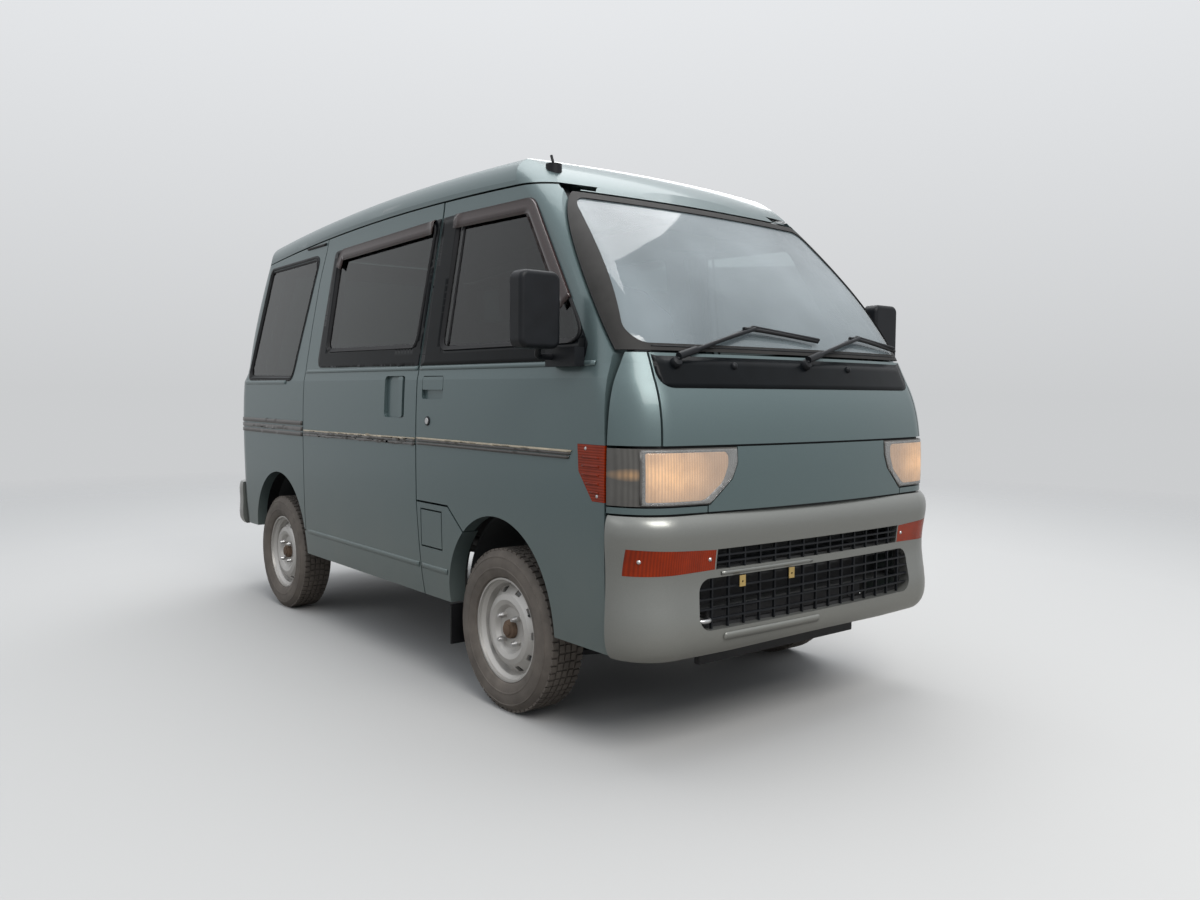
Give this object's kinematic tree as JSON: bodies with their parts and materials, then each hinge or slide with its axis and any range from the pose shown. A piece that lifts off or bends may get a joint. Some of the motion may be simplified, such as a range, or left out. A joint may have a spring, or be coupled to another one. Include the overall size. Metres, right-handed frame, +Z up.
{
  "type": "kei van",
  "caption": "Full-size kei-class van with steered and spinning wheels, hinged front doors, tailgate and fuel lid, and a hollow cab and load space.",
  "frame": {"origin": "on the floor under the middle of the van", "axes": "+Z up, the nose faces -Y and the driver side is -X"},
  "size_m": [1.72, 3.2962, 1.8119],
  "materials": {
    "body_paint": "gloss",
    "inner_paint": "satin",
    "bumper_paint": "gloss",
    "wheel_paint": "satin",
    "tyre": "matte",
    "glass": "clear",
    "lamp_lens": "clear",
    "red_lens": "gloss",
    "amber_lens": "gloss",
    "black_plastic": "matte",
    "grey_plastic": "matte",
    "rubber": "matte",
    "seat_cloth": "matte",
    "chassis_paint": "matte",
    "cast_iron": "matte",
    "brass": "satin"
  },
  "bodies": {
    "body": {"antenna_base": "black_plastic", "bumper_signals": "amber_lens", "cab_floor": "inner_paint", "dashboard": "grey_plastic", "engine_block": "cast_iron", "exhaust": "chassis_paint", "frame_rails": "chassis_paint", "front_bumper": "bumper_paint", "front_corner_panels": "body_paint", "front_grille": "black_plastic", "front_seats": "seat_cloth", "front_suspension": "chassis_paint", "front_upper_panel": "body_paint", "fuel_tank": "chassis_paint", "headlights": "lamp_lens", "load_floor": "inner_paint", "mud_flaps": "rubber", "nose_frame": "black_plastic", "nose_panel": "body_paint", "plate_clips": "brass", "propshaft": "chassis_paint", "rear_axle": "chassis_paint", "rear_bench": "seat_cloth", "rear_bumper": "bumper_paint", "rear_wheelhouses": "inner_paint", "roof_panel": "body_paint", "side_frame_left": "inner_paint", "side_frame_right": "inner_paint", "side_panel_left": "body_paint", "side_panel_right": "body_paint", "side_windows": "glass", "sliding_door_left": "body_paint", "sliding_door_right": "body_paint", "steering_wheel": "grey_plastic", "tail_lamps": "red_lens", "windscreen_glass": "glass", "windscreen_seal": "rubber", "wipers": "black_plastic"},
    "front_door_left": {"front_door_left": "body_paint", "front_door_glass_left": "glass", "mirror_left": "black_plastic", "side_lamp_left": "amber_lens"},
    "front_door_right": {"front_door_right": "body_paint", "front_door_glass_right": "glass", "mirror_right": "black_plastic", "side_lamp_right": "amber_lens"},
    "tailgate": {"tailgate": "body_paint", "tailgate_glass": "glass"},
    "fuel_lid": {"fuel_lid": "body_paint"},
    "knuckle_left": {"knuckle_left": "chassis_paint"},
    "knuckle_right": {"knuckle_right": "chassis_paint"},
    "wheel_front_left": {"tyre_front_left": "tyre", "rim_front_left": "wheel_paint"},
    "wheel_front_right": {"tyre_front_right": "tyre", "rim_front_right": "wheel_paint"},
    "wheel_rear_left": {"tyre_rear_left": "tyre", "rim_rear_left": "wheel_paint"},
    "wheel_rear_right": {"tyre_rear_right": "tyre", "rim_rear_right": "wheel_paint"}
  },
  "joints": [
    {"name": "steer_right", "type": "hinge", "parent": "body", "child": "knuckle_right", "pos_m": [-0.56, -0.925, 0.261], "axis": [0, 0, 1], "range_deg": [-30, 30]},
    {"name": "spin_front_right", "type": "hinge", "parent": "knuckle_right", "child": "wheel_front_right", "pos_m": [-0.6025, -0.925, 0.261], "axis": [1, 0, 0], "continuous": true},
    {"name": "spin_rear_right", "type": "hinge", "parent": "body", "child": "wheel_rear_right", "pos_m": [-0.6025, 0.975, 0.261], "axis": [1, 0, 0], "continuous": true},
    {"name": "steer_left", "type": "hinge", "parent": "body", "child": "knuckle_left", "pos_m": [0.56, -0.925, 0.261], "axis": [0, 0, 1], "range_deg": [-30, 30]},
    {"name": "spin_front_left", "type": "hinge", "parent": "knuckle_left", "child": "wheel_front_left", "pos_m": [0.6025, -0.925, 0.261], "axis": [1, 0, 0], "continuous": true},
    {"name": "spin_rear_left", "type": "hinge", "parent": "body", "child": "wheel_rear_left", "pos_m": [0.6025, 0.975, 0.261], "axis": [1, 0, 0], "continuous": true},
    {"name": "door_right", "type": "hinge", "parent": "body", "child": "front_door_right", "pos_m": [-0.68, -1.433, 0.7], "axis": [0, 0, 1], "range_deg": [0, 62]},
    {"name": "door_left", "type": "hinge", "parent": "body", "child": "front_door_left", "pos_m": [0.68, -1.433, 0.7], "axis": [0, 0, -1], "range_deg": [0, 62]},
    {"name": "tailgate_lift", "type": "hinge", "parent": "body", "child": "tailgate", "pos_m": [0, 1.364, 1.664], "axis": [1, 0, 0], "range_deg": [0, 80]},
    {"name": "fuel_lid_hinge", "type": "hinge", "parent": "body", "child": "fuel_lid", "pos_m": [-0.689, -0.5675, 0.5385], "axis": [0, 0, 1], "range_deg": [0, 80]}
  ],
  "couplings": [
    {"joint": "steer_left", "follows": "steer_right", "ratio": 1}
  ]
}
